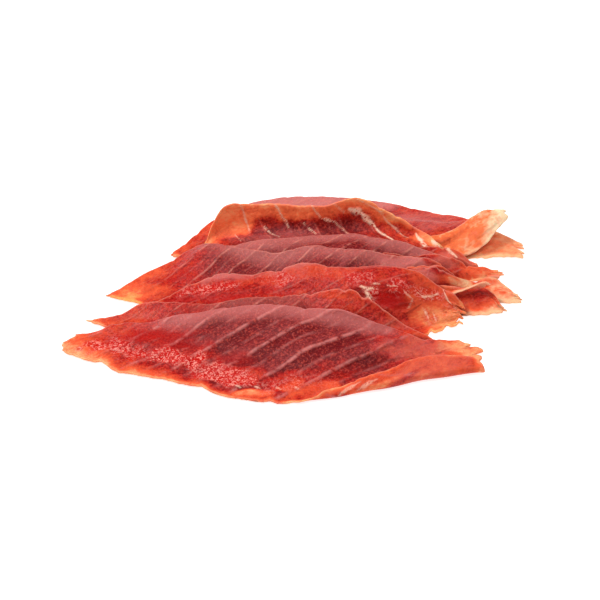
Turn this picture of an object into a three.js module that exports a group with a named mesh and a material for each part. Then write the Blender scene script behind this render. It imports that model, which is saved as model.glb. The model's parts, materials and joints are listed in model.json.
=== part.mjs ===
// Tuna carpaccio: thin slices of raw tuna loin, laid one over another like shingles from the back of
// the heap to the front. Millimetres, +Z up, X along the slices, the diner's side at -Y. The origin
// is at the bottom, under the middle of the heap.
//
// Each slice is a leaf of flesh. Its outline is worked out from the line between its two ends and its
// widths on either side of that line. It is let down onto the slices that already lie there, so that
// it drapes over them with a thin gap of air. A margin may curl up or fold over, and a corner may
// stand up.
import * as THREE from 'three';

// Driving dimensions.
const FULL_THICKNESS = 1.8; // in the middle of a slice
const RIM_THICKNESS = 0.8; // at its cut edge
const TAPER = 10; // distance from the edge over which a slice thins out
const AIR_GAP = 0.35; // between one slice and the next
const SAG = 0.5; // how far an unsupported span drops at each step of the draping
const MIDDLE = [2, 9.5]; // X and Y of the middle of the heap in the plan that the slices are drawn on

// The slices, from the first one laid to the last. left and right are the ends, in plan. near and far
// are the widths towards the diner and away from them, at equal steps from the left end to the right
// one. ragged is the depth of the waves along the edges. A curl's widths are those of the margin that
// turns up beyond the edge, its bend is the length of flesh in the turn, and its turn is in degrees. A
// lifted corner is centred at shares of the length and of the width.
const SLICES = [
  {
    name: 'rear_bottom_slice',
    left: [-30, 36],
    right: [86, 32],
    near: [2, 8, 11, 12, 9, 6, 3, 1, 0.5],
    far: [2, 12, 16, 18, 19, 19, 17, 19.5, 8],
    ragged: 0.5,
    seed: 1,
  },
  {
    name: 'rear_back_slice',
    left: [-45.5, 32],
    right: [72, 50],
    near: [0, 4, 9, 14, 18, 17, 13, 8, 0],
    far: [3, 20.5, 30.5, 31.7, 29.8, 25, 18.5, 11.5, 6],
    ragged: 0.6,
    seed: 2,
  },
  {
    name: 'rear_lifted_slice',
    left: [-10, 34],
    right: [80, 44],
    near: [2, 8, 12, 14, 15, 15, 12.5, 9, 1.5],
    far: [2, 4, 5, 4, 2, -1, 1.5, 6, 5],
    ragged: 0.4,
    lifts: [{ at: [1, 0.8], reach: [0.28, 1.3], height: 9 }],
    seed: 3,
  },
  {
    name: 'rim_slice',
    left: [-40, 27],
    right: [62, 22],
    near: [1, 8, 12, 15, 15, 14, 11, 7, 1],
    far: [3, 12, 14, 13, 12, 14.5, 14, 13, 4],
    ragged: 0.5,
    farCurl: { widths: [-6, 12, 13.5, 13, 13, 15, 10, 3, 1], bend: 6, turn: 75 },
    stations: 26,
    seed: 4,
  },
  {
    name: 'middle_low_slice',
    left: [0, 18],
    right: [69, 23],
    near: [2, 6, 8, 8, 6, 3, 1],
    far: [2, 6, 8, 8, 8, 9.5, 6],
    ragged: 0.4,
    seed: 5,
  },
  {
    name: 'middle_back_slice',
    left: [-42, 20],
    right: [57, 20],
    near: [1, 13, 22, 25, 22, 12, 1],
    far: [3, 10.5, 12.5, 12, 14.5, 15, 10.5, 8, 3.5],
    ragged: 0.4,
    seed: 6,
  },
  {
    name: 'middle_tail_slice',
    left: [5, 12],
    right: [77, 20],
    near: [2, 8, 11, 10, 6, 2, 0],
    far: [2, 4, 6, 6, 6, 6.5, 4.5],
    ragged: 0.4,
    seed: 7,
  },
  {
    name: 'middle_long_slice',
    left: [-68, 9],
    right: [56, 15],
    near: [1, 8.5, 19, 25, 25, 13, 1],
    far: [1, 14.3, 23, 17, 12, 10, 6.5, 5, 4],
    ragged: 0.5,
    stations: 24,
    seed: 8,
  },
  {
    name: 'right_low_slice',
    left: [22, 4],
    right: [83, 6.5],
    near: [2, 4, 4, 3, 1, 1, 2],
    far: [2, 6, 9, 10, 9, 12.5, 2],
    ragged: 0.4,
    seed: 9,
  },
  {
    name: 'right_red_slice',
    left: [16, -2],
    right: [77, 1.5],
    near: [2, 5, 5, 4, 3.5, 3.5, 2.5],
    far: [2, 7, 10, 12, 12, 13, 1],
    ragged: 0.4,
    seed: 10,
  },
  {
    name: 'right_tongue_slice',
    left: [10, 4],
    right: [71, 5.5],
    near: [2, 6, 7, 6, 4, 1, -1],
    far: [2, 6, 5, 2, 1, 3, 4],
    ragged: 0.3,
    lifts: [{ at: [1, 0], reach: [0.35, 1.2], height: 4.5 }],
    seed: 11,
  },
  {
    name: 'inner_red_slice',
    left: [-54, 0],
    right: [62, -6],
    near: [1, 12, 20, 24, 21, 11.5, 1.5],
    far: [2, 14, 16.5, 16.5, 12.5, 12, 8],
    ragged: 0.5,
    stations: 24,
    seed: 12,
  },
  {
    name: 'inner_front_slice',
    left: [-74, -5.2],
    right: [52, -18],
    near: [0.5, 12.5, 20, 23, 20, 12, 2],
    far: [0.5, 9, 8.5, 12, 13, 8.5, 2],
    ragged: 0.4,
    stations: 24,
    seed: 13,
  },
  {
    name: 'front_slice',
    left: [-82, -21.5],
    right: [67, -31.5],
    near: [0.5, 9.8, 13.5, 20, 23.5, 19.5, 13.5, 6, 2],
    far: [8.5, 13, 16, 19, 20.5, 18.5, 15.5, 12, 18.5],
    ragged: 0.5,
    nearCurl: { widths: [0, 0, 0, 0, 0, 5, 11, 14, 9], bend: 5.6, turn: 176 },
    stations: 34,
    rows: 9,
    seed: 14,
  },
];
const STATIONS = 18; // steps along a slice, where its entry names none
const ROWS = 7; // steps across its flat part
const CURL_ROWS = [4, 3]; // steps in the turn of a curl and in the straight margin beyond it
const PLAIN_MARGIN = 1; // width of a curl's margin where it lies flat

const mix = (a, b, share) => a + (b - a) * share;
const clamp = (value) => Math.min(1, Math.max(0, value));
const smooth = (value) => clamp(value) ** 2 * (3 - 2 * clamp(value));
const steps = (count) => Array.from({ length: count + 1 }, (_, k) => k / count);

// Slow uneven waves along an edge, different for each seed, between about -1 and 1.
function waves(x, seed) {
  return (
    0.5 * Math.sin(x / 3.1 + seed * 2.7) +
    0.35 * Math.sin(x / 5.3 + seed * 5.1) +
    0.3 * Math.sin(x / 9.7 + seed * 1.3)
  );
}

// The width at share u of the length, on a smooth curve through widths at equal steps.
function widthAt(widths, u) {
  const last = widths.length - 1;
  const k = Math.min(Math.floor(u * last), last - 1);
  const t = u * last - k;
  const from = widths[k];
  const to = widths[k + 1];
  const slopeFrom = (to - (widths[k - 1] ?? from)) / 2;
  const slopeTo = ((widths[k + 2] ?? to) - from) / 2;
  const square = 3 * (to - from) - 2 * slopeFrom - slopeTo;
  const cube = 2 * (from - to) + slopeFrom + slopeTo;
  return from + slopeFrom * t + square * t ** 2 + cube * t ** 3;
}

// The rows of a curling margin at share u of the length, from the edge outward: how far each lies
// beyond the edge and how far above it. The turn comes first, and then a straight part.
function curlRows({ widths, bend, turn }, u) {
  const width = Math.max(PLAIN_MARGIN, widthAt(widths, u));
  const angle = THREE.MathUtils.degToRad(turn) * smooth((width - PLAIN_MARGIN) / bend);
  const turnLength = Math.min(bend, 0.6 * width);
  const inTurn = steps(CURL_ROWS[0]).map((share) => share * turnLength);
  const beyond = steps(CURL_ROWS[1]).map((share) => mix(turnLength, width, share));
  return [...inTurn.slice(1), ...beyond.slice(1)].map((distance) => {
    if (angle < 1e-3) return { out: distance, up: 0 };
    const radius = turnLength / angle;
    const turned = angle * Math.min(1, distance / turnLength);
    const straight = Math.max(0, distance - turnLength);
    return {
      out: radius * Math.sin(turned) + straight * Math.cos(angle),
      up: radius * (1 - Math.cos(turned)) + straight * Math.sin(angle),
    };
  });
}

// A slice's section at share u of its length: the rows of its flat part, and those of its margins.
function section(slice, u) {
  const { left, right, near, far, ragged, seed } = slice;
  const x = mix(left[0], right[0], u);
  const line = mix(left[1], right[1], u);
  const nearEdge = line - widthAt(near, u) + ragged * waves(x, seed);
  const farEdge = line + widthAt(far, u) + ragged * waves(x, seed + 50);
  const endDistance = Math.min(x - left[0], right[0] - x);
  const flat = steps(slice.rows ?? ROWS).map((share) => {
    const y = mix(nearEdge, farEdge, share);
    const rimDistance = Math.min(y - nearEdge, farEdge - y, endDistance);
    const thickness = mix(RIM_THICKNESS, FULL_THICKNESS, smooth(rimDistance / TAPER));
    let lift = 0;
    for (const { at, reach, height } of slice.lifts ?? [])
      lift += height * smooth(1 - Math.hypot((u - at[0]) / reach[0], (share - at[1]) / reach[1]));
    return { x, y, lift, thickness };
  });
  const margin = (curl, edge, side) =>
    curl
      ? curlRows(curl, u).map(({ out, up }) => ({
          x,
          y: edge + side * out,
          lift: up,
          thickness: RIM_THICKNESS,
        }))
      : [];
  return {
    flat,
    nearMargin: margin(slice.nearCurl, nearEdge, -1).reverse(),
    farMargin: margin(slice.farCurl, farEdge, 1),
  };
}

// The top of what already lies on the board, on a grid of small squares. It starts so that the first
// slices rest on the board itself.
const CELL = 0.75;
const REACH = [105, 75];
const CELLS = REACH.map((reach) => Math.ceil((2 * reach) / CELL));
const heap = new Float64Array(CELLS[0] * CELLS[1]).fill(-AIR_GAP);

function raiseHeap(x, y, z) {
  const column = Math.floor((x + REACH[0]) / CELL);
  const row = Math.floor((y + REACH[1]) / CELL);
  const index = row * CELLS[0] + column;
  heap[index] = Math.max(heap[index], z);
}

function heapTop(x, y) {
  const column = Math.floor((x + REACH[0]) / CELL - 0.5);
  const row = Math.floor((y + REACH[1]) / CELL - 0.5);
  const corner = row * CELLS[0] + column;
  return Math.max(
    heap[corner],
    heap[corner + 1],
    heap[corner + CELLS[0]],
    heap[corner + CELLS[0] + 1],
  );
}

// Lets a flat sheet down onto the heap. Each pass smooths it and lets it sag, then pushes it up
// wherever a point of it, also between its corners, would lie in what is under it.
const PASSES = 200;
const START_HEIGHT = 30;
const PROBES = steps(3);

function drape(sheet) {
  let height = sheet.map((row) => row.map(() => START_HEIGHT));
  for (let pass = 0; pass < PASSES; pass++) {
    const settled = height.map((row, i) =>
      row.map((_, j) => {
        const around = [height[i - 1]?.[j], height[i + 1]?.[j], row[j - 1], row[j + 1]];
        const held = around.filter((value) => value !== undefined);
        return held.reduce((sum, value) => sum + value, 0) / held.length - SAG;
      }),
    );
    for (let i = 0; i < sheet.length - 1; i++)
      for (let j = 0; j < sheet[0].length - 1; j++) pushUp(sheet, settled, i, j);
    height = settled;
  }
  return height;
}

function pushUp(sheet, height, i, j) {
  for (const s of PROBES)
    for (const t of PROBES) {
      const corners = [
        [i, j, (1 - s) * (1 - t)],
        [i + 1, j, s * (1 - t)],
        [i, j + 1, (1 - s) * t],
        [i + 1, j + 1, s * t],
      ];
      const blend = (value) => corners.reduce((sum, [a, b, share]) => sum + share * value(a, b), 0);
      const x = blend((a, b) => sheet[a][b].x);
      const y = blend((a, b) => sheet[a][b].y);
      const z = blend((a, b) => height[a][b]);
      const missing = heapTop(x, y) + AIR_GAP - z;
      if (missing <= 0) continue;
      const squares = corners.reduce((sum, [, , share]) => sum + share ** 2, 0);
      for (const [a, b, share] of corners) height[a][b] += (missing * share) / squares;
    }
}

// The height of a draped section's flat part at y, the same beyond its edges as at them.
function heightAt(points, y) {
  const next = points.findIndex((point) => point.y > y);
  if (next === 0) return points[0].z;
  if (next < 0) return points.at(-1).z;
  const [a, b] = [points[next - 1], points[next]];
  return mix(a.z, b.z, (y - a.y) / (b.y - a.y));
}

// The underside and the upper side of a slice as it lies, as grids of points. The upper side stands
// off square to the section.
function faces(slice) {
  const stations = steps(slice.stations ?? STATIONS);
  // The stations lie closer together towards the ends.
  const sections = stations.map((s) => section(slice, mix(s, (1 - Math.cos(Math.PI * s)) / 2, 0.6)));
  const height = drape(sections.map(({ flat }) => flat));
  const under = [];
  const upper = [];
  sections.forEach(({ flat, nearMargin, farMargin }, i) => {
    const lying = flat.map(({ x, y, lift }, j) => new THREE.Vector3(x, y, height[i][j] + lift));
    // An edge is raised where its margin would otherwise touch what lies beside it, here or a little
    // way along.
    const shortfall = ({ x, y, lift }) =>
      Math.max(...[-2, 0, 2].map((step) => heapTop(x + step, y))) +
      AIR_GAP -
      heightAt(lying, y) -
      lift;
    const [nearRaise, farRaise] = [nearMargin, farMargin].map((margin) =>
      Math.max(0, ...margin.map(shortfall)),
    );
    lying[0].z += nearRaise;
    lying.at(-1).z += farRaise;
    const rise = ({ x, y, lift }) => new THREE.Vector3(x, y, heightAt(lying, y) + lift);
    const points = [...nearMargin.map(rise), ...lying, ...farMargin.map(rise)];
    const thicknesses = [...nearMargin, ...flat, ...farMargin].map(({ thickness }) => thickness);
    under.push(points);
    upper.push(
      points.map((point, j) => {
        const before = points[Math.max(0, j - 1)];
        const after = points[Math.min(points.length - 1, j + 1)];
        const along = new THREE.Vector3().subVectors(after, before).normalize();
        return new THREE.Vector3(0, -along.z, along.y).multiplyScalar(thicknesses[j]).add(point);
      }),
    );
  });
  return [under, upper];
}

const SPACING = 0.5; // between the points by which a slice's faces are entered in the heap

function addToHeap(grid) {
  for (let i = 0; i < grid.length - 1; i++)
    for (let j = 0; j < grid[0].length - 1; j++) {
      const [a, b, c, d] = [grid[i][j], grid[i + 1][j], grid[i][j + 1], grid[i + 1][j + 1]];
      const alongSteps = Math.ceil(Math.max(a.distanceTo(b), c.distanceTo(d)) / SPACING);
      const acrossSteps = Math.ceil(Math.max(a.distanceTo(c), b.distanceTo(d)) / SPACING);
      for (const s of steps(alongSteps))
        for (const t of steps(acrossSteps)) {
          const point = a.clone().lerp(b, s).lerp(c.clone().lerp(d, s), t);
          raiseHeap(point.x, point.y, point.z);
        }
    }
}

// One closed body from the two faces, with a wall round the rim.
function closedGeometry(under, upper) {
  const rows = under[0].length;
  const low = (i, j) => i * rows + j;
  const high = (i, j) => (under.length + i) * rows + j;
  const end = under.length - 1;
  const last = rows - 1;
  const index = [];
  const quad = (a, b, c, d) => index.push(a, b, c, a, c, d);
  for (let i = 0; i < end; i++)
    for (let j = 0; j < last; j++) {
      quad(high(i, j), high(i + 1, j), high(i + 1, j + 1), high(i, j + 1));
      quad(low(i, j), low(i, j + 1), low(i + 1, j + 1), low(i + 1, j));
    }
  for (let i = 0; i < end; i++) {
    quad(low(i, 0), low(i + 1, 0), high(i + 1, 0), high(i, 0));
    quad(low(i + 1, last), low(i, last), high(i, last), high(i + 1, last));
  }
  for (let j = 0; j < last; j++) {
    quad(low(0, j + 1), low(0, j), high(0, j), high(0, j + 1));
    quad(low(end, j), low(end, j + 1), high(end, j + 1), high(end, j));
  }
  const positions = [...under.flat(), ...upper.flat()].flatMap((point) => point.toArray());
  const geometry = new THREE.BufferGeometry();
  geometry.setAttribute('position', new THREE.Float32BufferAttribute(positions, 3));
  geometry.setIndex(index);
  geometry.translate(-MIDDLE[0], -MIDDLE[1], 0);
  geometry.computeVertexNormals();
  return geometry;
}

function layDown(slice) {
  const [under, upper] = faces(slice);
  addToHeap(under);
  addToHeap(upper);
  const flesh = new THREE.MeshStandardMaterial({ color: 0xc24a3c, roughness: 0.35, metalness: 0 });
  const mesh = new THREE.Mesh(closedGeometry(under, upper), flesh);
  mesh.name = slice.name;
  return mesh;
}

const carpaccio = new THREE.Group();
for (const slice of SLICES) carpaccio.add(layDown(slice));

export default carpaccio;
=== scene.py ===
import json
import math

import bpy
import numpy as np
from mathutils.bvhtree import BVHTree
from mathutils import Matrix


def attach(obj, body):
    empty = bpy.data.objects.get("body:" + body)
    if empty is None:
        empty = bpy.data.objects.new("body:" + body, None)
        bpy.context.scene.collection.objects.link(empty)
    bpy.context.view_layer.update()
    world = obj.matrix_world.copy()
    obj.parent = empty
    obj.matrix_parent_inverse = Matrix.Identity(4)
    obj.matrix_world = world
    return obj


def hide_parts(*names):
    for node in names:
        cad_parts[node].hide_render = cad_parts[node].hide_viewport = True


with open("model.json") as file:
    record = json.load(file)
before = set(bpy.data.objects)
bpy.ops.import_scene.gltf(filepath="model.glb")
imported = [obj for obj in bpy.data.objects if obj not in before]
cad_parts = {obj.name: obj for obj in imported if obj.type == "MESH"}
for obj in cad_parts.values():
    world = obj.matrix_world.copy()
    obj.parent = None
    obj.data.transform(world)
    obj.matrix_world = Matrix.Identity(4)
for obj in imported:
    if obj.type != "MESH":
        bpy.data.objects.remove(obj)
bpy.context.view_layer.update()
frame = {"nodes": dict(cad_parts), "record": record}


# ---- Rear slices --------------------------------------------------------------------------------
# Three slices of raw tuna loin lie at the back: one at the bottom with two lobes, one along the
# whole back edge, and one whose pale right corner stands up. Each was drawn off the loin with a
# long knife, across the muscle sheets, and laid down by hand, so its margins are thin and ragged.

def solid_rows(node):
    """Reads a slice's solid in mm: its stations' x, then its under and its upper side, in rows."""
    mesh = frame["nodes"][node].data
    corners = np.array([v.co for v in mesh.vertices]) * 1000
    points, which = np.unique(np.round(corners, 3), axis=0, return_inverse=True)
    which = which.reshape(-1)
    places, station = np.unique(points[:, 0], return_inverse=True)
    station = station.reshape(-1)
    # An edge goes along the slice, from one station to the next, or around the section at a station.
    around, along = {}, set()
    for polygon in mesh.polygons:
        face = [int(which[v]) for v in polygon.vertices]
        closes_an_end = len({int(station[v]) for v in face}) == 1
        for a, b in zip(face, face[1:] + face[:1]):
            if station[a] != station[b]:
                along.update(((a, b), (b, a)))
            elif not closes_an_end:
                around.setdefault(a, set()).add(b)
                around.setdefault(b, set()).add(a)

    def splits(number):
        """Every way to split a station's section into an upper and an under row of as many points."""
        start = int(np.flatnonzero(station == number)[0])
        loop = [start, min(around[start])]
        while True:
            after = next(v for v in around[loop[-1]] if v != loop[-2])
            if after == start:
                break
            loop.append(after)
        half = len(loop) // 2
        for way in (loop, loop[::-1]):
            for turn in range(len(way)):
                turned = way[turn:] + way[:turn]
                yield turned[:half], turned[half:][::-1]

    def spread(pair):
        """How far two rows lie apart, which is least for the true upper and under sides."""
        upper, under = points[pair[0]], points[pair[1]]
        wrong_side = upper[:, 2].mean() < under[:, 2].mean()
        wrong_way = upper[0, 1] > upper[-1, 1]
        return np.linalg.norm(upper - under, axis=1).sum() + 1e6 * (wrong_side or wrong_way)

    # The section in the middle is split by its form, and the others as the edges along carry it on.
    middle = len(places) // 2
    chosen = {middle: min(splits(middle), key=spread)}
    for step in (1, -1):
        number = middle + step
        while 0 <= number < len(places):
            upper, under = chosen[number - step]
            chosen[number] = max(splits(number), key=lambda pair: sum(
                (a, b) in along for a, b in zip(upper + under, pair[0] + pair[1])))
            number += step
    order = range(len(places))
    return places, points[[chosen[i][1] for i in order]], points[[chosen[i][0] for i in order]]


def between(grid, s, t):
    """Reads a grid at fractional places, on smooth curves through the four points around each."""
    def share(u, count):
        base = np.clip(np.floor(u).astype(int), 0, count - 2)
        f = (u - base)[..., None]
        weights = (f * (-.5 + f - .5 * f * f), 1 + f * f * (1.5 * f - 2.5),
                   f * (.5 + 2 * f - 1.5 * f * f), f * f * (.5 * f - .5))
        return [(np.clip(base + k - 1, 0, count - 1), weight) for k, weight in enumerate(weights)]

    across = share(t, grid.shape[1])
    return sum(ws * wt * grid[i, j] for i, ws in share(s, grid.shape[0]) for j, wt in across)


def grain(x, y, size, seed):
    """Smooth noise from 0 to 1 whose lumps are size mm apart."""
    lattice = np.random.default_rng(seed).random((64, 64))
    u, v = np.asarray(x) / size + 1000, np.asarray(y) / size + 1000
    i, j = np.floor(u).astype(int), np.floor(v).astype(int)
    f, g = u - i, v - j
    f, g = f * f * (3 - 2 * f), g * g * (3 - 2 * g)

    def at(a, b):
        return lattice[(i + a) % 64, (j + b) % 64]

    return (at(0, 0) * (1 - f) + at(1, 0) * f) * (1 - g) + (at(0, 1) * (1 - f) + at(1, 1) * f) * g


def rise(value, low, high):
    """Goes smoothly from 0 at low to 1 at high."""
    u = np.clip((value - low) / (high - low), 0, 1)
    return u * u * (3 - 2 * u)


def dip(at, place, deep, wide, power):
    """A cut that is deepest at its place and runs out on both sides; a high power makes it pointed."""
    return deep * np.clip(1 - np.abs(at - place) / wide, 0, 1) ** power


EDGE_STEPS = np.array([0, .06, .18, .38, .7, 1.1])  # mm from an edge to the rows that round it off
EDGE_LAST = len(EDGE_STEPS) - 1
EDGE_SHARE = .05  # the share of a slice's width that the rows of one edge stand for


def spread_points(places, rows, columns, seed, ragged, blunt, notches):
    """Spreads rows of points from the left end to the right one, close together at both."""
    share = np.concatenate([np.linspace(0, EDGE_SHARE, EDGE_LAST + 1),
                            np.linspace(EDGE_SHARE, 1 - EDGE_SHARE, rows - 2 * EDGE_LAST)[1:-1],
                            np.linspace(1 - EDGE_SHARE, 1, EDGE_LAST + 1)])
    run = np.linspace(0, 1, columns - 2 * EDGE_LAST)
    run = run - .5 * np.sin(2 * np.pi * run) / (2 * np.pi)
    run = np.concatenate([np.zeros(EDGE_LAST), run, np.ones(EDGE_LAST)])
    # An end bows out like a finger's tip, and is torn into small lobes; it counts as 30 mm wide there.
    lobe_deep, lobe_wide, end_width = 1.2, 3, 30
    bow = blunt * (1 - np.sqrt(1 - (2 * share - 1) ** 2))
    left = places[0] + bow + ragged * lobe_deep * grain(share * end_width, 0, lobe_wide, seed)
    right = places[-1] - bow - ragged * lobe_deep * grain(share * end_width, 9, lobe_wide, seed)
    for side, place, deep, wide in notches:
        cut = dip(share, place, deep, wide, 1.7)
        left, right = (left + cut, right) if side == "left" else (left, right - cut)
    first_x, last_x = left + EDGE_STEPS[EDGE_LAST], right - EDGE_STEPS[EDGE_LAST]
    x = first_x + (last_x - first_x) * run[:, None]
    x[:EDGE_LAST] = left + EDGE_STEPS[:EDGE_LAST, None]
    x[-EDGE_LAST:] = right - EDGE_STEPS[EDGE_LAST - 1::-1, None]
    return share, x, np.minimum(x - left, right - x)


def cut_margins(x, width, share, seed, ragged, nicks):
    """Cuts the long margins unevenly: what goes off the near one, and each point's distance to both."""
    def uneven(lift):
        """Wide bays, fine teeth and a few deep bites; each margin reads its own lines of the noise."""
        bays = .9 * grain(x, lift, 5.3, seed) ** 2
        teeth = .35 * grain(x, lift + 50, 1.3, seed)
        bites = 1.3 * grain(x, lift + 90, 2.1, seed) ** 5
        return ragged * (bays + teeth + bites)

    torn_off = {"near": uneven(20), "far": uneven(70)}
    for side, place, deep, wide in nicks:
        torn_off[side] = torn_off[side] + dip(x, place, deep, wide, 1.3)
    most = .25 * width
    near_cut, far_cut = (np.minimum(cut, most) for cut in torn_off.values())
    span = width - near_cut - far_cut
    # The rows of an edge keep their steps, drawn together where the slice is narrow.
    steps = np.minimum(EDGE_STEPS, np.arange(EDGE_LAST + 1) * .06 * span[..., None])
    widest = steps[..., EDGE_LAST]
    to_near = (share - EDGE_SHARE) / (1 - 2 * EDGE_SHARE) * (span - 2 * widest) + widest
    for row in range(EDGE_LAST + 1):
        to_near[:, row] = steps[:, row, row]
        to_near[:, -1 - row] = span[:, -1 - row] - steps[:, -1 - row, row]
    return near_cut, to_near, span - to_near


def sheet_order(x, across, seed, spacing, slant, first):
    """Counts the muscle sheets, which run at a slant across the slice and sway a little."""
    turn = math.radians(slant)
    order = (x * math.sin(turn) - across * math.cos(turn)) / spacing + first
    for size, sway in ((29, 3.2), (11, .9), (4, .2)):
        order = order + sway * (grain(x, across, size, seed + 3) - .5) / spacing
    return order


def sheet_step(order):
    """How deep a sheet's face lies: it drops just behind the border and rises towards the next one."""
    part = order - np.floor(order)
    border = .16
    return np.where(part < border, rise(part, 0, border), 1 - rise(part, border, 1) ** .8)


def oval(x, across, seed, loose, place, place_across, half_length, half_width):
    """How much each point belongs to an oval with a loose edge."""
    away = np.hypot((x - place) / half_length, (across - place_across) / half_width)
    return 1 - rise(away + loose * (grain(x, across, 3.1, seed + 8) - .5), .5, 1.15)


def strongest(x, across, seed, loose, spots):
    """The most that any of some spots gives each point."""
    amounts = [spot[4] * oval(x, across, seed, loose, *spot[:4]) for spot in spots]
    return np.max([np.zeros_like(x)] + amounts, axis=0)


def bands(x, across, seed, loose, lines):
    """How much each point belongs to bands along lines of points; a band is thinner at its ends."""
    total = np.zeros_like(x)
    u = x + loose * (grain(x, across, 3.7, seed + 11) - .5)
    v = across + loose * (grain(x, across, 3.7, seed + 12) - .5)
    for wide, amount, *line in lines:
        line = np.array(line, float)
        steps = np.linalg.norm(np.diff(line, axis=0), axis=1)
        done = np.concatenate([[0], np.cumsum(steps)]) / steps.sum()
        nearest, taper = np.full_like(x, 99.), np.zeros_like(x)
        for (x0, y0), (x1, y1), begin, end in zip(line, line[1:], done, done[1:]):
            dx, dy = x1 - x0, y1 - y0
            part = np.clip(((u - x0) * dx + (v - y0) * dy) / (dx ** 2 + dy ** 2), 0, 1)
            away = np.hypot(u - x0 - part * dx, v - y0 - part * dy)
            taper = np.where(away < nearest, begin + part * (end - begin), taper)
            nearest = np.minimum(away, nearest)
        slim = wide * (.35 + .65 * np.sin(np.pi * (.08 + .84 * taper)))
        slim = slim * (.4 + 1.1 * grain(x, across, 1.5, seed + 10))
        total = np.maximum(total, amount * (1 - rise(nearest / slim, .3, 1.2)))
    return total


def gap_above(node, top):
    """How many mm above each point of a slice's face the slices laid on it are; 4 stands for more."""
    far = 4
    nodes = [part["node"] for part in frame["record"]["subparts"]]
    points, faces = [], []
    for name in nodes[nodes.index(node) + 1:]:
        solid = frame["nodes"][name].data
        faces += [[v + len(points) for v in face.vertices] for face in solid.polygons]
        points += [v.co * 1000 for v in solid.vertices]
    if not faces:
        return np.full(top.shape[:2], far)
    cover = BVHTree.FromPolygons(points, faces)
    found = [cover.find_nearest(point, far)[3] for point in top.reshape(-1, 3).tolist()]
    return np.array([far if gap is None else gap for gap in found]).reshape(top.shape[:2])


def closed_skin(name, top, bottom, kept):
    """Makes one closed skin of two faces that share their rim, and keeps values at its points."""
    columns, rows = top.shape[:2]
    upper_index = np.arange(columns * rows).reshape(columns, rows)
    lower_index = upper_index + columns * rows
    for rim in (np.s_[0, :], np.s_[-1, :], np.s_[:, 0], np.s_[:, -1]):
        lower_index[rim] = upper_index[rim]
    quads = []
    for index, flip in ((upper_index, False), (lower_index, True)):
        ring = [index[:-1, :-1], index[1:, :-1], index[1:, 1:], index[:-1, 1:]]
        quads.append(np.stack(ring[::-1] if flip else ring, -1).reshape(-1, 4))
    used, quads = np.unique(np.concatenate(quads), return_inverse=True)
    quads = quads.reshape(-1, 4)
    points = np.concatenate([top.reshape(-1, 3), bottom.reshape(-1, 3)])[used] / 1000
    mesh = bpy.data.meshes.new(name)
    mesh.vertices.add(len(points))
    mesh.vertices.foreach_set("co", points.astype(np.float32).ravel())
    mesh.loops.add(quads.size)
    mesh.loops.foreach_set("vertex_index", quads.astype(np.int32).ravel())
    mesh.polygons.add(len(quads))
    mesh.polygons.foreach_set("loop_start", np.arange(0, quads.size, 4, dtype=np.int32))
    mesh.update(calc_edges=True)
    mesh.shade_smooth()
    for key, values in kept.items():
        attribute = mesh.attributes.new(key, "FLOAT", "POINT")
        both_faces = np.concatenate([values.reshape(-1)] * 2)
        attribute.data.foreach_set("value", both_faces[used].astype(np.float32))
    piece = bpy.data.objects.new(name, mesh)
    bpy.context.scene.collection.objects.link(piece)
    return piece


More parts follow.
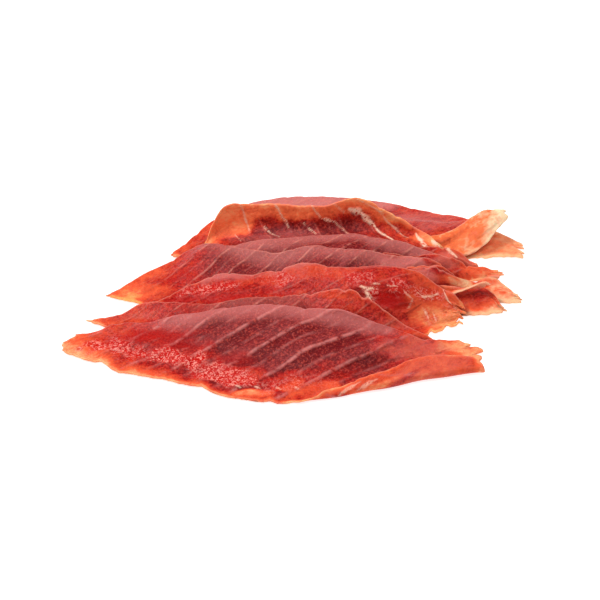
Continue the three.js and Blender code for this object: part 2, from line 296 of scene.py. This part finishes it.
def flesh_sheet(node, seed, tones, sheets, columns=170, rows=44, near_margin=(3., .15),
                far_margin=(3., .15), ragged=.8, blunt=2.5, first=0., flat_row=0, lip=.7, sheen_amount=0.,
                notches=(), nicks=(), zones=(), sheen_spots=(), wet=(), dark=(), strips=(), creases=()):
    """Makes the fine form of one slice inside its solid, with what its finish needs kept at each point.

    Lengths are in mm. The distance across is y at the flat row, one of the solid's rows, and goes on
    from there over the slice's curves. Tones go from the left end to the right one: 0 is clear flesh
    and 1 the purple heart of the loin. Sheets are the muscle sheets' spacing, their slant in degrees
    and the height of their steps, and first shifts them. A margin is how far in its clear flesh goes,
    and the share of the tone left at its edge. Ragged is how unevenly the edges are torn, blunt how
    far an end's corners are drawn in, lip how clear the last 2 mm of the near margin are, and the
    sheen amount how much painted sheen, light painted as a pale film, lies along the far margin.

    A notch is (end, place as a share of the width, depth, half width as a share of the width).
    A nick is (margin, x, depth, half width).
    A spot is (x, across, half length, half width, amount); one of zones has its tone before the amount.
    Sheen spots are painted sheen.
    A strip of fat or a crease, which is painted shade, is (half width, amount, points that it runs
    through).
    """
    places, under, upper = solid_rows(node)
    middle, half = (under + upper) / 2, (upper - under) / 2
    stations, count = middle.shape[:2]
    lengths = np.zeros((stations, count))
    lengths[:, 1:] = np.cumsum(np.linalg.norm(np.diff(middle, axis=1), axis=2), axis=1)
    share, x, to_end = spread_points(places, rows, columns, seed, ragged, blunt, notches)
    reach = np.stack([np.interp(x, places, lengths[:, j]) for j in range(count)], -1)
    near_cut, to_near, to_far = cut_margins(x, reach[..., -1], share, seed, ragged, nicks)
    edge = np.minimum(np.minimum(to_near, to_far), to_end)
    reached = near_cut + to_near
    across = np.interp(x, places, middle[:, flat_row, 1] - lengths[:, flat_row]) + reached
    # Each point's place among the solid's stations, s, and rows, t, and there its middle and thickness.
    s = np.interp(x, places, np.arange(stations))
    t = np.clip((reached[..., None] - reach[..., :-1]) / np.diff(reach, axis=2), 0, 1).sum(-1)
    spine, thick = between(middle, s, t), between(half, s, t)
    depth = np.linalg.norm(thick, axis=2, keepdims=True)
    normal = thick / depth

    # The knife left steps from one muscle sheet to the next, and a face that is not quite even.
    spacing, slant, height = sheets
    order = sheet_order(x, across, seed, spacing, slant, first)
    steps = .7 * sheet_step(order) + .3 * sheet_step(order * 2)
    carve = height * steps * (.4 + 1.2 * grain(x, across, 14, seed + 5))
    for size, deep in ((7, .25), (2.3, .14), (1.15, .1)):
        carve = carve + deep * grain(x, across, size, seed + 6)
    carve = carve * rise(edge, .3, 3.5)

    # Wet places, where it tore the flesh into small grains; dark spots, carved as hollows and painted
    # deep red, in part as painted shade; spots of painted sheen; and strips of fat.
    torn, hollow_and_shade, spot_sheen = (strongest(x, across, seed, loose, spots)
                           for spots, loose in ((wet, 1.1), (dark, .6), (sheen_spots, .6)))
    white = bands(x, across, seed, .9, strips)
    torn_deep, hollow_deep, rounding, under_clearance, fat_height = .5, .5, .55, .12, .2
    carve = carve + torn * (torn_deep * grain(x, across, 1.3, seed + 9) ** .7 - .1) + hollow_deep * hollow_and_shade
    round_off = np.sqrt(1 - (1 - np.clip(edge / rounding, 0, 1)) ** 2)[..., None]
    deepest = .9 * depth[..., 0]
    carve = np.clip(carve, 0, deepest)[..., None] * round_off
    top = spine + normal * (depth * round_off - carve + fat_height * white[..., None] * round_off)
    bottom = spine - normal * (depth - under_clearance) * round_off

    # Painted shade darkens the face where the next slices lie close above it and along the creases,
    # and their weight presses it down a little.
    gap = gap_above(node, top)
    contact_shade = 1 - rise(gap, .5, 1.5 + 1.4 * grain(x, across, 6, seed + 13))
    crease_shade = np.maximum(bands(x, across, seed, .5, creases), contact_shade)
    pressed_deep = .25
    pressed = pressed_deep * (1 - rise(gap, .4, 1.1))
    top = top - normal * pressed[..., None] * round_off

    # The tone along the slice, made clearer towards its margins and ends and drawn to its zones' own.
    tone = np.interp(x, np.linspace(places[0], places[-1], len(tones)), tones)
    end_margin = (3., .3)
    margins = ((to_near, near_margin), (to_far, far_margin), (to_end, end_margin))
    for distance, (margin, least) in margins:
        tone = tone * (least + (1 - least) * rise(distance, -.2 * margin, margin))
    for *spot, aim, amount in zones:
        tone = tone + (aim - tone) * amount * oval(x, across, seed, .5, *spot)
    tone = tone * (1 - lip * (1 - rise(to_near, 0, 2)))
    # Painted sheen: light painted as a pale film on the far margin's crest and on the sheen spots.
    sheen_paint = np.maximum(sheen_amount * (1 - rise(to_far, 1, 9)) * rise(tone, .4, .8), spot_sheen)
    piece = closed_skin(node + "_flesh", top, bottom, {
        "along": x, "across": across, "order": order, "tone": tone, "torn": torn, "hollow_and_shade": hollow_and_shade,
        "white": white, "edge": edge, "sheen_amount": sheen_paint, "crease_shade": crease_shade})
    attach(piece, "root")
    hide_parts(node)
    return piece


def linear(hex_colour):
    """Turns an sRGB hex value to a linear colour."""
    parts = [int(hex_colour[i:i + 2], 16) / 255 for i in (1, 3, 5)]
    return tuple(c / 12.92 if c <= .04045 else ((c + .055) / 1.055) ** 2.4 for c in parts) + (1,)


def add(tree, kind, settings, **links):
    """Adds a node with its settings, links and constants; a node in a link stands for its output."""
    node = tree.nodes.new(kind)
    for name, value in settings.items():
        setattr(node, name, value)
    for name, value in links.items():
        socket = node.inputs[int(name[1:]) if name[1:].isdigit() else name.replace("_", " ")]
        if isinstance(value, bpy.types.Node):
            value = next(output for output in value.outputs if output.enabled)
        if isinstance(value, bpy.types.NodeSocket):
            tree.links.new(value, socket)
        else:
            socket.default_value = value
    return node


def raw_tuna(name, seed, tip="#eea674", orange="#e05a35", red="#b2150c", vein="#d98878",
             sheen_paint="#bd6460", spacing=6., vein_width=.6, veins=.4, shade=.6, fibres=.5, lit_edge=.5):
    """Raw yellowfin tuna, cut with a wet knife: clear orange at the margin, red, purple at the heart.

    Its face is moist, with painted glints where it is torn, and light goes a little way into it.
    """
    # Deep and pale also serve as the painted shade and painted light of the muscle sheets' steps.
    heart, deep, pale = "#760f16", "#540508", "#a84a48"
    # The darkest of these reds is painted shade, laid where slices lie close above and in creases.
    torn_flesh, deep_red, shade_red = "#c8140a", "#a80a06", "#700b08"
    pebble_light, fat, glint = "#dc5844", "#f6c9ae", "#f3a294"
    material = bpy.data.materials.new(name)
    material.use_nodes = True
    tree = material.node_tree
    tree.nodes.clear()
    kept = {key: add(tree, "ShaderNodeAttribute", {"attribute_name": key}).outputs["Fac"] for key in (
        "along", "across", "order", "tone", "torn", "hollow_and_shade", "white", "edge", "sheen_amount", "crease_shade")}
    # Each slice reads its own layer of the patterns, so that no two look alike.
    place = add(tree, "ShaderNodeCombineXYZ", {}, X=kept["along"], Y=kept["across"], Z=seed * 13.7)

    # Muscle fibres are about 0.1 mm thick; they are drawn as bundles 0.6 mm wide and 3.5 mm long, so
    # that they show.
    fibre_place = add(tree, "ShaderNodeMapping", {"vector_type": "TEXTURE"}, Vector=place,
                      Rotation=(0, 0, math.radians(30)), Scale=(3.5, .6, 1.))
    # The other scales are one over a size in mm: blotches of 9 mm, mottles of 2.5, torn grains of 1,
    # pebbles of 0.8, patches of shade of 5, and breaks of 3.3 in the films of gristle.
    noise = {key: add(tree, "ShaderNodeTexNoise", {},
                      Vector=where, Scale=scale, Detail=detail, Distortion=swirl)
             for key, where, scale, detail, swirl in (
                 ("fibre", fibre_place, 1., 3., .4), ("blotch", place, .11, 3., 0.),
                 ("mottle", place, .4, 3., .8), ("grains", place, 1., 2., 1.3),
                 ("pebble", place, 1.25, 2., .6), ("patch", place, .2, 2., 0.),
                 ("breaks", place, .3, 2., 0.))}
    tone = kept["tone"]
    for key, amount in (("blotch", .45), ("mottle", .35), ("fibre", .12)):
        sway = add(tree, "ShaderNodeMath", {"operation": "MULTIPLY_ADD"},
                   _0=noise[key], _1=amount, _2=-.5 * amount)
        tone = add(tree, "ShaderNodeMath", {"operation": "ADD", "use_clamp": True}, _0=tone, _1=sway)
    colour = add(tree, "ShaderNodeValToRGB", {}, Fac=tone)
    stops = colour.color_ramp.elements
    stops[0].color, stops[1].color = linear(tip), linear(heart)
    stops[1].position = .85
    for at, tint in ((.22, orange), (.52, red)):
        stops.new(at).color = linear(tint)

    # Painted shade and light: each muscle sheet is painted darkest just below its upper border, where
    # its step turns away from the light, and lighter towards the next one, where it faces the light.
    # The border is a pale film of gristle, and a finer one runs half way between.
    part = add(tree, "ShaderNodeMath", {"operation": "FRACT"}, _0=kept["order"])
    films = []
    for times in (1, 2):
        turns = add(tree, "ShaderNodeMath", {"operation": "MULTIPLY"}, _0=kept["order"], _1=times)
        films.append(add(tree, "ShaderNodeMath", {"operation": "PINGPONG"}, _0=turns, _1=.5))
    film, fine_film = (vein_width * times / spacing for times in (1, 2))
    mask = {key: add(tree, "ShaderNodeMapRange", {"interpolation_type": "SMOOTHSTEP"},
                     Value=value, From_Min=low, From_Max=high)
            for key, value, low, high in (
                ("heart", tone, .4, .85), ("lean", tone, .2, .6), ("fatless", tone, .05, .35),
                ("below", part, 0., .12), ("fading", part, .75, .15), ("ahead", part, .3, .98),
                ("film", films[0], film, 0.), ("fine_film", films[1], fine_film, 0.),
                ("patch", noise["patch"], .25, .55), ("broken", noise["breaks"], .3, .62),
                ("dark_fibre", noise["fibre"], .5, .32), ("pale_fibre", noise["fibre"], .55, .75),
                ("dark_pebble", noise["pebble"], .49, .38), ("pale_pebble", noise["pebble"], .53, .64),
                ("glint", noise["grains"], .51, .58), ("gap", noise["grains"], .46, .36),
                ("sheen_glint", noise["pebble"], .64, .7), ("cut", kept["edge"], 1., .15),
                ("gristle", noise["grains"], .3, .5))}

    # Layers of colour, from the flesh up to the wet light on it. A layer is as strong as its factors,
    # multiplied, make it.
    layers = (
        # painted shade below a sheet's border, and painted light on the flesh before the next one
        ((mask["below"], mask["fading"], mask["patch"], mask["heart"], shade), deep),
        ((mask["ahead"], mask["heart"], .3), pale),
        # fibres and pebbles
        ((mask["dark_fibre"], mask["lean"], fibres), deep),
        ((mask["pale_fibre"], mask["heart"], fibres), pale),
        ((mask["dark_pebble"], mask["lean"], .5), deep),
        ((mask["pale_pebble"], mask["lean"], .3), pebble_light),
        # painted sheen: light painted as a pale film on the far margins, with painted glints on it
        ((kept["sheen_amount"], .75), sheen_paint),
        ((kept["sheen_amount"], mask["sheen_glint"], .14), glint),
        # films of gristle between the sheets, and a painted highlight along the thin cut edge
        ((mask["film"], mask["broken"], mask["lean"], veins), vein),
        ((mask["fine_film"], mask["broken"], mask["lean"], .45 * veins), vein),
        ((mask["cut"], mask["fatless"], lit_edge), vein),
        # torn flesh with its gaps and painted glints, hollows partly painted as shade, painted shade in
        # creases and where slices lie close, and strips of fat
        ((kept["torn"], .75), torn_flesh),
        ((kept["torn"], mask["gap"], .5), deep_red),
        ((kept["torn"], mask["glint"], .62), glint),
        ((kept["hollow_and_shade"], .9), deep_red),
        ((kept["crease_shade"], .6), shade_red),
        ((kept["white"], mask["gristle"]), fat))
    for (weight, *factors), tint in layers:
        for factor in factors:
            weight = add(tree, "ShaderNodeMath", {"operation": "MULTIPLY", "use_clamp": True},
                         _0=weight, _1=factor)
        colour = add(tree, "ShaderNodeMix", {"data_type": "RGBA"},
                     _0=weight, _6=colour, _7=linear(tint))

    # Flesh is glossier where it is torn and wet than at the heart, and its fibres and pebbles stand up
    # by some tenths of a millimetre. Its IOR is near that of water, its sheen is faint in the soft
    # light, and red light goes furthest into it, about 1.5 mm.
    dry = add(tree, "ShaderNodeMapRange", {}, Value=mask["heart"], To_Min=.3, To_Max=.4)
    rough = add(tree, "ShaderNodeMath", {"operation": "MULTIPLY_ADD"}, _0=kept["torn"], _1=-.12, _2=dry)
    height = add(tree, "ShaderNodeMath", {"operation": "MULTIPLY_ADD"},
                 _0=noise["fibre"], _1=.6, _2=noise["pebble"])
    height = add(tree, "ShaderNodeMath", {"operation": "MULTIPLY_ADD"},
                 _0=kept["torn"], _1=noise["grains"], _2=height)
    bump = add(tree, "ShaderNodeBump", {}, Strength=1., Distance=.0003, Height=height)
    shader = add(tree, "ShaderNodeBsdfPrincipled", {"subsurface_method": "RANDOM_WALK"},
                 Base_Color=colour, Roughness=rough, IOR=1.38, Subsurface_Weight=.25,
                 Subsurface_Radius=(1., .3, .18), Subsurface_Scale=.0015, Specular_IOR_Level=.16,
                 Normal=bump)
    add(tree, "ShaderNodeOutputMaterial", {}, Surface=shader)
    return material


rear_bottom = flesh_sheet(
    "rear_bottom_slice", 1, tones=(.7, .7, .7, .6, .5, .4, .34, .25, .12), sheets=(6, 30, .25),
    near_margin=(4, .05), far_margin=(4, .15), ragged=1.1, blunt=1.3,
    notches=(("right", .55, 5, .22), ("right", .2, 2, .12), ("right", .85, 2, .1)),
    zones=((73, 30, 11, 7, .16, .9), (66, 31, 5, 3, .4, .6)))
rear_bottom.data.materials.append(raw_tuna(
    "yellowfin_rear_bottom", 1, tip="#f4b484", orange="#ee7c50", fibres=.3))

rear_back = flesh_sheet(
    "rear_back_slice", 2, columns=220, rows=50, tones=(.35, .4, .75, .9, .9, .8, .6, .5, .45, .35),
    sheets=(7, 40, .3), far_margin=(1.5, .7), blunt=1.2, sheen_amount=.5,
    sheen_spots=((46, 45, 20, 10, .35), (5, 57, 38, 13, .9)))
rear_back.data.materials.append(raw_tuna(
    "yellowfin_rear_back", 2, sheen_paint="#d67f78", spacing=7, veins=.2, shade=.35))

rear_lifted = flesh_sheet(
    "rear_lifted_slice", 3, tones=(.5, .5, .45, .4, .34, .31, .29, .28, .24, .15, -.2),
    sheets=(7, 35, .25), near_margin=(1.5, .75), far_margin=(1.5, .75), ragged=.6, lip=.3,
    notches=(("right", .0, 6, .7), ("right", .75, 1.5, .2)))
rear_lifted.data.materials.append(raw_tuna(
    "yellowfin_rear_lifted", 3, tip="#f0d0a8", orange="#e8713f", veins=.25, fibres=.2))


# ---- Rim slice ----------------------------------------------------------------------------------
# This slice stands up along its far margin, which folds back like a collar. The margin is clear
# orange flesh, crossed by thin white films, and strips of white fat cross its right end.

films_on_the_collar = (
    (.3, .9, (-21.7, 44), (-18, 32.6)), (.3, .95, (-9.5, 44), (-4, 33.6)),
    (.28, .8, (4, 42.5), (8.4, 36)), (.28, .8, (-12.8, 35), (-7.5, 28.5)),
    (.28, .8, (1.8, 35), (6.3, 30)), (.28, .7, (-23.5, 31), (-21.5, 27)),
    (.7, .9, (9.5, 36), (12.8, 35.4)), (.3, .8, (12.8, 35.4), (18, 30.5)))
fat_at_the_right_end = (
    (1.5, .9, (18.8, 40.6), (23.3, 38.2)), (1.2, .9, (22.3, 39.2), (28, 33.5)),
    (.7, .9, (26.5, 35), (34.5, 26)), (.45, .6, (21.6, 44), (31, 38.5)),
    (.4, .5, (28, 40), (40, 28)), (.35, .5, (12, 43), (17, 39)),
    (1., 1., (43, 30.4), (45.9, 24.3), (48.5, 19)), (1., .9, (49, 26.6), (51, 24)))
rim = flesh_sheet(
    "rim_slice", 4, columns=340, rows=90, tones=(.3, .45, .85, .95, .95, .9, .75, .6, .55, .5),
    sheets=(9, 112, .15), far_margin=(13, .1), ragged=1., notches=(("left", 1, 7, .5),),
    zones=((-24, 38, 11, 8, .17, .88), (0, 40, 18, 5, .2, .7), (35, 31, 12, 4, .58, .7),
           (4, 33, 20, 3, .85, .6)),
    sheen_spots=((-6, 29, 22, 3.5, .4),), strips=films_on_the_collar + fat_at_the_right_end,
    creases=((1.2, .6, (24, 34), (30, 28.5), (38, 22)), (.8, .5, (32, 36), (38, 30.5), (46, 21))))
rim.data.materials.append(raw_tuna(
    "yellowfin_rim", 4, tip="#ffb27a", orange="#ff784a", red="#bd2a18", spacing=9, veins=.15,
    fibres=.25))


# ---- Middle slices ------------------------------------------------------------------------------
# Four slices lie in front of the rim, from the middle of the loin, where the flesh is purple red.
# Their far margins overlap like shingles; of two of them only the right tips show.

middle_low = flesh_sheet(
    "middle_low_slice", 5, tones=(.7, .7, .6, .5, .4, .3), sheets=(6, 35, .2), far_margin=(1.5, .6),
    ragged=1.1, blunt=1.2, notches=(("right", .35, 4, .2), ("right", .75, 3, .15)),
    sheen_spots=((57, 18, 9, 3, .5),),
    strips=((.9, .8, (48.6, 18.4), (50, 15)), (.9, .85, (54, 22), (57.8, 17.9))))
middle_low.data.materials.append(raw_tuna(
    "yellowfin_middle_low", 5, sheen_paint="#cf6f66", veins=.3, shade=.4))

middle_back = flesh_sheet(
    "middle_back_slice", 6, columns=240, rows=60, tones=(.45, .6, .9, 1, 1, 1, .95, .85, .4),
    sheets=(8, 45, .3), near_margin=(2, .3), far_margin=(1.2, .85), sheen_amount=.8,
    zones=((-40, 24, 10, 5, .5, .7),))
middle_back.data.materials.append(raw_tuna(
    "yellowfin_middle_back", 6, sheen_paint="#c46e68", spacing=8, shade=.4))

middle_tail = flesh_sheet(
    "middle_tail_slice", 7, tones=(.7, .7, .6, .5, .35, .15), sheets=(6, 35, .2), far_margin=(1.5, .6),
    ragged=1.1, blunt=1.2, notches=(("right", .55, 4, .2), ("right", .9, 2, .12)),
    sheen_spots=((53, 14, 6, 3, .5), (72, 10, 4, 2, .7)))
middle_tail.data.materials.append(raw_tuna(
    "yellowfin_middle_tail", 7, sheen_paint="#d67a6e", veins=.3, shade=.4))

middle_long = flesh_sheet(
    "middle_long_slice", 8, columns=260, rows=60,
    tones=(.12, .3, .46, .68, .95, 1, 1, .95, .85, .6, .4), sheets=(8, 45, .35),
    near_margin=(2, .3), far_margin=(1.2, .85), sheen_amount=.7,
    zones=((-62, 1, 9, 3.5, .16, .7), (-52, 3, 9, 3, .3, .6), (-46, 8, 9, 4, .5, .8),
           (-32, 20, 7, 3.5, .5, .3), (40, 9, 9, 4, .45, .7)),
    sheen_spots=((38, 8.6, 12, 3, 1.),), dark=((-45, 8.5, 10, 4, .4),))
middle_long.data.materials.append(raw_tuna(
    "yellowfin_middle_long", 8, tip="#eea35c", sheen_paint="#c46e68", spacing=8, shade=.4))


# ---- Right slices -------------------------------------------------------------------------------
# Three narrow slices with thin orange red ends lie jumbled at the right. The last one has a pale
# tongue that stands up over a shadow, and whose root shows on the far margin of the second one.

right_low = flesh_sheet(
    "right_low_slice", 9, tones=(.6, .55, .5, .36, .2, .02), sheets=(6, 30, .2),
    near_margin=(4, .1), far_margin=(1.5, .5), ragged=1.1, blunt=1.2,
    notches=(("right", .3, 3, .15), ("right", .65, 4, .15)))
right_low.data.materials.append(raw_tuna(
    "yellowfin_right_low", 9, tip="#ecb68a", veins=.3, shade=.4, fibres=.3))

right_red = flesh_sheet(
    "right_red_slice", 10, tones=(.55, .55, .55, .55, .5, .36), sheets=(6, 30, .2),
    near_margin=(9, .0), far_margin=(1., .7), ragged=1.1, blunt=1.2,
    notches=(("right", .25, 3, .15), ("right", .6, 4, .15), ("right", .9, 2, .1)),
    zones=((57, 3, 9, 2.6, .1, .95), (45, 3, 7, 2.5, .34, .85)), sheen_spots=((45, 3, 6, 2.5, .8),))
right_red.data.materials.append(raw_tuna(
    "yellowfin_right_red", 10, tip="#e9b488", veins=.2, shade=.3, fibres=.3))

right_tongue = flesh_sheet(
    "right_tongue_slice", 11, tones=(.8, .8, .75, .6, .25, .08), sheets=(6, 30, .2),
    near_margin=(3, .05), zones=((54, 2, 12, 5, .3, .8), (62, 5, 8, 3, .16, .8)),
    sheen_spots=((56, 3, 12, 5, .75),))
right_tongue.data.materials.append(raw_tuna(
    "yellowfin_right_tongue", 11, tip="#f2b08c", sheen_paint="#d8756a", veins=.25, shade=.3, fibres=.3))


# ---- Inner red slice ----------------------------------------------------------------------------
# An orange red slice whose face was torn by the knife and is wet, with painted glints on it. At
# its right end it opens into an orange lobe with bits of white fat around a dark red hollow.

bits_of_fat = (
    (1.1, 1., (23.8, -8.6), (25.6, -10.2), (24.6, -11.6)),
    (.7, .9, (21.5, -6.2), (24.5, -7.6), (27, -7.2)),
    (.4, .5, (31, -6), (35, -5.6)), (.3, .45, (36.5, -6.2), (40.2, -9.2), (38.5, -12.5)),
    (.5, .7, (26, -5.4), (28.5, -5)), (.4, .7, (43.5, -8), (49.2, -5.6)),
    (.35, .8, (51.3, -4.2), (52.6, -7.4), (56, -9.4)), (.4, .6, (42, -6.5), (45, -8.5)),
    (.5, .6, (44.6, -11.5), (46.2, -15)), (.5, .5, (48, -13), (49, -16)))
inner_red = flesh_sheet(
    "inner_red_slice", 12, columns=300, rows=80, tones=(.3, .5, .55, .52, .48, .48, .52, .5, .32, .18),
    sheets=(9, 25, .25), near_margin=(2, .3), far_margin=(1.2, .75), ragged=1.1, blunt=1.4,
    notches=(("right", .15, 3, .14), ("right", .45, 5, .15), ("right", .75, 4, .12)),
    nicks=(("near", 47, 1.4, 1.6), ("near", 52.5, 1.8, 1.8), ("near", 57, 1.6, 1.4)),
    zones=((2, 2, 28, 4, .36, .85), (-40, -4, 8, 4, .6, .8), (49, -14, 11, 7, .13, .9),
           (16, -4, 9, 3, .5, .6)),
    sheen_spots=((-26, 4.8, 18, 3.2, 1.), (0, 5.6, 18, 2.6, .9), (22, 3.8, 18, 2.2, .7)),
    wet=((-39, -1, 8, 3, .55), (-28, -1, 7, 3, .7), (-12, 2, 7, 2.5, .3), (-5, .5, 3.5, 3, .7),
         (8, 0, 12, 3, .15), (22, -3, 7, 4, .5), (25, -9, 4, 3.5, .9), (34, -6, 5, 3, .6),
         (46, -7, 6, 3, .7), (53, -12, 5, 4, .35), (47, -14, 4, 4, .4)),
    # The dark spots along the near part, beside the slice in front, are painted shade; the two at the
    # right end paint the dark red hollow.
    dark=((2, 1.5, 28, 3, .3), (-41, -5, 9, 2.5, .5), (-27, -5.5, 10, 2.5, .6),
          (-8, -5, 10, 2.5, .35), (31, -10.5, 5, 3., 1.), (36, -11, 4, 3, .7)),
    strips=bits_of_fat, creases=((.45, .9, (36.6, -15.4), (39.6, -13), (43.5, -10.2)),))
inner_red.data.materials.append(raw_tuna(
    "yellowfin_inner_red", 12, tip="#f0a268", sheen_paint="#c0625c", spacing=9, veins=.2))


# ---- Inner front slice --------------------------------------------------------------------------
# The purple slice just behind the front one shows its far margin, with painted sheen on it, and
# its long pointed left end. Like all of them it is held by nothing but the juice that makes the
# slices cling.

inner_front = flesh_sheet(
    "inner_front_slice", 13, columns=300, rows=70,
    tones=(.16, .38, .52, .66, .82, .8, .6, .48, .42, .35), sheets=(9, 38, .35),
    near_margin=(2, .3), far_margin=(1.5, .8), sheen_amount=.4,
    nicks=(("far", 4, 1.2, 2), ("far", 16, 1.4, 2), ("far", 22, 1, 2)),
    zones=((12, -10.5, 9, 2.5, .44, .8),), sheen_spots=((-60, -13, 12, 2, .3), (36, -20, 8, 3, .3)))
inner_front.data.materials.append(raw_tuna(
    "yellowfin_inner_front", 13, sheen_paint="#bd5e54", spacing=9, veins=.3, shade=.45))


# ---- Front slice --------------------------------------------------------------------------------
# The one slice that shows whole: a leaf 149 mm long, purple at the heart, with the wide muscle
# sheets standing as slanting steps. Its near right margin is folded over on top.

left_and_near_margin = (
    (-56, -30, 12, 5, .6, .9), (-38, -36, 14, 6, .6, .9), (-38, -41.5, 9, 3, .62, .8),
    (-20, -46, 14, 5, .46, .9), (2, -48, 20, 5, .45, .85), (6, -53, 19, 5, .27, .9),
    (-17, -54.5, 8, 2.5, .06, .8), (14, -43, 12, 4, .5, .6))
right_part_and_fold = (
    (40, -32, 16, 7, .36, .85), (30, -30, 8, 4, .6, .4), (50, -49, 18, 9, .32, .9),
    (28, -57, 16, 7, .33, .9), (44, -59, 16, 6, .36, .9))
right_lobe = (
    (58, -29.5, 10, 4, .1, .9), (63, -36, 9, 6, .1, .85), (67, -44, 6, 4, .1, .8))
edge_of_the_fold = ((26, -54.6, 10, 1.6, .1, .7), (41, -50.6, 9, 1.5, .14, .6))
front = flesh_sheet(
    "front_slice", 14, columns=340, rows=110,
    tones=(.18, .34, .5, .62, .82, .96, 1, 1, 1, .9, .7, .5, .3, .12),
    sheets=(10.9, 33.8, .7), near_margin=(8, .1), far_margin=(1.2, .85),
    ragged=1., blunt=1.5, first=.01, flat_row=7, lip=.35, sheen_amount=1.,
    notches=(("right", .42, 3, .12), ("right", .28, 2.5, .06), ("right", 0, 4, .12),
             ("right", .62, 3.5, .05), ("right", .8, 4, .045), ("right", 1, 8, .35),
             ("left", .95, 3, .4)),
    nicks=(("near", -69, 2.4, 7), ("near", -47, .9, 2), ("near", -33.5, 1.6, 4),
           ("near", -10, 1.2, 3)),
    zones=left_and_near_margin + right_part_and_fold + right_lobe + edge_of_the_fold,
    sheen_spots=((-5, -18, 22, 3, .5), (40, -33, 14, 6, .45), (46, -53, 16, 7, .3)),
    wet=((-70, -30, 7, 4, 1), (-64, -30, 7, 5, 1), (-57, -34, 8, 4, .7), (-48, -36, 9, 4, 1),
         (-39, -39, 9, 4, 1), (-30, -43, 8, 5, 1), (-22, -48, 8, 5, .9), (-7.5, -13.2, 6, 2, .55),
         (-8, -51, 10, 4, .4), (6, -50, 12, 3, .2)),
    dark=((-55, -25.5, 13, 4, .75), (-42, -30, 11, 4, .5), (-22, -39, 9, 4, .4),
          (-45, -26, 12, 3.5, .55)),
    strips=((.5, .8, (-22, -51.5), (-20, -52.6)), (.5, .7, (-15, -51.6), (-13, -53)),
            (.4, .7, (-8, -52), (-6, -53.4)), (.6, .7, (16, -53), (18, -54.6)),
            (1.1, .45, (14, -57.4), (21, -58.8)), (.9, .4, (20, -56), (27, -57.6)),
            (.4, .6, (-1, -51.6), (0, -53))),
    creases=((1., .75, (14, -47), (21, -43.4), (28, -39.4), (36, -36.7)),
             (.7, .5, (36, -36.7), (44, -35))))
front.data.materials.append(raw_tuna(
    "yellowfin_front", 14, vein="#d07c76", spacing=10.9, vein_width=1., veins=.6, shade=.5,
    lit_edge=.4))


# ---- Table, light and camera --------------------------------------------------------------------
# The heap lies on a plain white table under soft studio light. The camera looks down at 38 degrees
# from 0.9 m, with a long lens.

def table():
    """A wide matt white top that glows a little, so that it shows as plain white as in the photo."""
    reach = 3
    mesh = bpy.data.meshes.new("table_top")
    mesh.from_pydata([(-reach, -reach, 0), (reach, -reach, 0), (reach, reach, 0), (-reach, reach, 0)],
                     [], [(0, 1, 2, 3)])
    floor = bpy.data.objects.new("table_top", mesh)
    floor.location.z = -.0002  # just under the flesh, so that no two faces lie in one plane
    bpy.context.scene.collection.objects.link(floor)
    paint = bpy.data.materials.new("matt_white_table")
    paint.use_nodes = True
    shader = paint.node_tree.nodes["Principled BSDF"]
    shader.inputs["Base Color"].default_value = linear("#bcbcbc")
    shader.inputs["Roughness"].default_value = .9
    shader.inputs["Emission Color"].default_value = (1, 1, 1, 1)
    shader.inputs["Emission Strength"].default_value = .78
    mesh.materials.append(paint)


def soft_light(name, place, size, power):
    """A round soft box that points at the middle of the table."""
    lamp = bpy.data.lights.new(name, "AREA")
    lamp.shape = "DISK"
    lamp.size, lamp.energy = size, power
    holder = bpy.data.objects.new(name, lamp)
    holder.location = place
    x, y, z = place
    holder.rotation_euler = (math.acos(z / math.hypot(x, y, z)), 0, math.atan2(x, -y))
    bpy.context.scene.collection.objects.link(holder)


table()
soft_light("soft_box_left", (-.6, .2, .95), .5, 11.5)
soft_light("soft_box_above", (.3, -.35, 1.2), .8, 6.5)

world = bpy.data.worlds.new("white_studio")
world.use_nodes = True
world.node_tree.nodes["Background"].inputs["Color"].default_value = (1, 1, 1, 1)
world.node_tree.nodes["Background"].inputs["Strength"].default_value = .38
bpy.context.scene.world = world
bpy.context.scene.view_settings.view_transform = "Standard"

look_down, distance = 38, .9
aim_x, aim_y, aim_z = .00032, -.0095, .006
lens = bpy.data.cameras.new("camera")
lens.lens, lens.sensor_width = 151.3, 36
camera = bpy.data.objects.new("camera", lens)
camera.location = (aim_x, aim_y - distance * math.cos(math.radians(look_down)),
                   aim_z + distance * math.sin(math.radians(look_down)))
camera.rotation_euler = (math.radians(90 - look_down), 0, 0)
bpy.context.scene.collection.objects.link(camera)
bpy.context.scene.camera = camera
